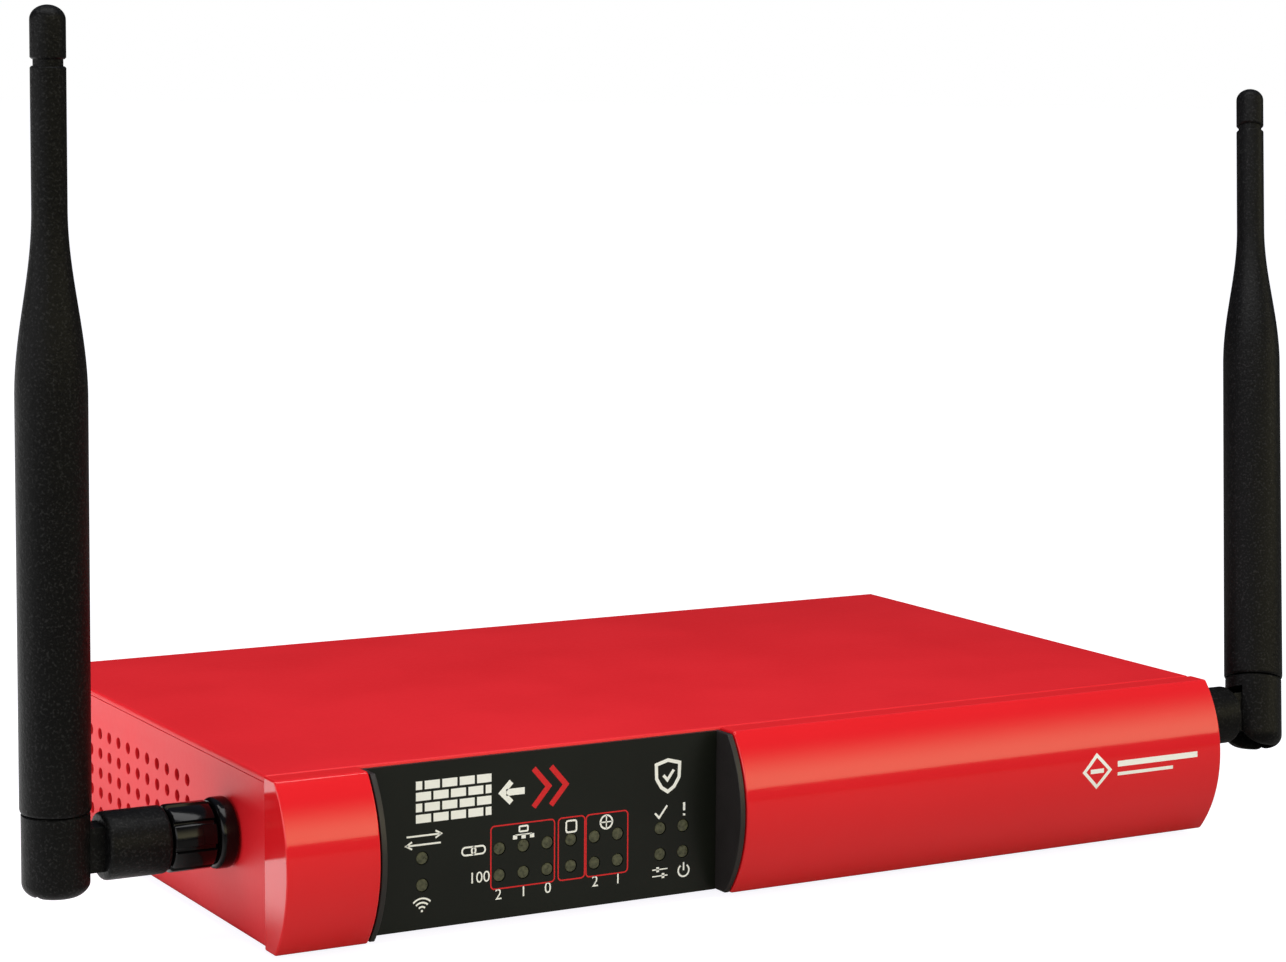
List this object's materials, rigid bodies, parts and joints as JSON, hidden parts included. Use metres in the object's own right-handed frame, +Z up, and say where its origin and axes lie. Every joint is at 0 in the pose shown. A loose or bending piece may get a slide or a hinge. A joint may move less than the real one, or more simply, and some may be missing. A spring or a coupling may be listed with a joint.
{
  "type": "firewall appliance",
  "caption": "Desktop wireless network firewall: flat red sheet-metal case, curved bezel with a recessed status panel, rear sockets, hinged side antennas.",
  "frame": {"origin": "centre of the flat underside of the case, behind the rating label, 1.5 mm above what the feet stand on", "axes": "+X to the right seen from the front, +Y to the rear sockets, +Z up through the lid"},
  "size_m": [0.3233, 0.1376, 0.1707],
  "materials": {
    "red_paint": "smooth satin powder coat on sheet steel",
    "red_plastic": "glossy moulded plastic in the case colour",
    "insert_black": "fine matte moulded plastic",
    "film_black": "satin printed polyester",
    "clear_plastic": "smoky moulded light guide",
    "board_green": "solder mask over glass epoxy",
    "jack_can": "nickel-plated steel can",
    "tin_plate": "tinned sheet",
    "zinc_steel": "zinc-plated steel",
    "anodised_aluminium": "extruded and anodised",
    "gold_brass": "gold-plated brass",
    "pale_plastic": "moulded plastic",
    "foot_rubber": "soft rubber",
    "nut_black": "polished black over-moulded nut",
    "antenna_black": "fine-grained black elastomer",
    "coax_black": "smooth cable jacket",
    "label_silver": "blank silver polyester label",
    "component_black": "moulded epoxy"
  },
  "bodies": {
    "chassis": {"base_tray": "red_paint", "board_screw_1": "zinc_steel", "board_screw_2": "zinc_steel", "board_screw_3": "zinc_steel", "board_screw_4": "zinc_steel", "capacitor_1": "component_black", "capacitor_2": "component_black", "card_shield": "tin_plate", "card_socket": "component_black", "flash_chip": "component_black", "foot_1": "foot_rubber", "foot_2": "foot_rubber", "foot_3": "foot_rubber", "foot_4": "foot_rubber", "front_bezel": "red_plastic", "heat_sink": "anodised_aluminium", "jackscrew_left": "zinc_steel", "jackscrew_right": "zinc_steel", "left_lock_collar": "nut_black", "left_panel_connector": "gold_brass", "left_pigtail": "coax_black", "lid_screw_left": "zinc_steel", "lid_screw_right": "zinc_steel", "light_guide": "clear_plastic", "magnetics_module": "component_black", "main_board": "board_green", "memory_chip": "component_black", "network_jack_lan_0": "jack_can", "network_jack_lan_1": "jack_can", "network_jack_lan_2": "jack_can", "network_jack_opt": "jack_can", "network_jack_wan_1": "jack_can", "network_jack_wan_2": "jack_can", "panel_film": "film_black", "panel_insert": "insert_black", "power_jack": "component_black", "processor": "component_black", "rating_label": "label_silver", "reset_switch": "component_black", "right_lock_collar": "nut_black", "right_panel_connector": "gold_brass", "right_pigtail": "coax_black", "serial_port": "tin_plate", "switch_chip": "component_black", "top_lid": "red_paint", "wireless_card": "board_green"},
    "left_nut": {"left_coupling_nut": "nut_black"},
    "left_knuckle": {"left_knuckle": "antenna_black", "left_hinge_pin": "antenna_black"},
    "left_mast": {"left_mast_sleeve": "antenna_black", "left_mast": "antenna_black", "left_tip_cap": "antenna_black"},
    "right_nut": {"right_coupling_nut": "nut_black"},
    "right_knuckle": {"right_knuckle": "antenna_black", "right_hinge_pin": "antenna_black"},
    "right_mast": {"right_mast_sleeve": "antenna_black", "right_mast": "antenna_black", "right_tip_cap": "antenna_black"},
    "reset_button": {"reset_button": "pale_plastic"}
  },
  "joints": [
    {"name": "left_nut_spin", "type": "hinge", "parent": "chassis", "child": "left_nut", "pos_m": [-0.106, -0.0434, 0.0183], "axis": [-1, 0, 0], "continuous": true},
    {"name": "left_swivel", "type": "hinge", "parent": "chassis", "child": "left_knuckle", "pos_m": [-0.106, -0.0434, 0.0183], "axis": [-1, 0, 0], "range_deg": [-89, 91]},
    {"name": "left_fold", "type": "hinge", "parent": "left_knuckle", "child": "left_mast", "pos_m": [-0.1393, -0.0434, 0.0183], "axis": [0, -0.9998, -0.0175], "range_deg": [0, 90]},
    {"name": "right_nut_spin", "type": "hinge", "parent": "chassis", "child": "right_nut", "pos_m": [0.106, -0.0434, 0.0183], "axis": [1, 0, 0], "continuous": true},
    {"name": "right_swivel", "type": "hinge", "parent": "chassis", "child": "right_knuckle", "pos_m": [0.106, -0.0434, 0.0183], "axis": [1, 0, 0], "range_deg": [-70.1, 109.9]},
    {"name": "right_fold", "type": "hinge", "parent": "right_knuckle", "child": "right_mast", "pos_m": [0.1393, -0.0434, 0.0183], "axis": [0, 0.9403, -0.3404], "range_deg": [-13.7, 76.3]},
    {"name": "reset_press", "type": "slide", "parent": "chassis", "child": "reset_button", "axis": [0, -1, 0], "range_m": [0, 0.0005], "stiffness_N_per_m": 800, "springref_m": -0.0003}
  ]
}
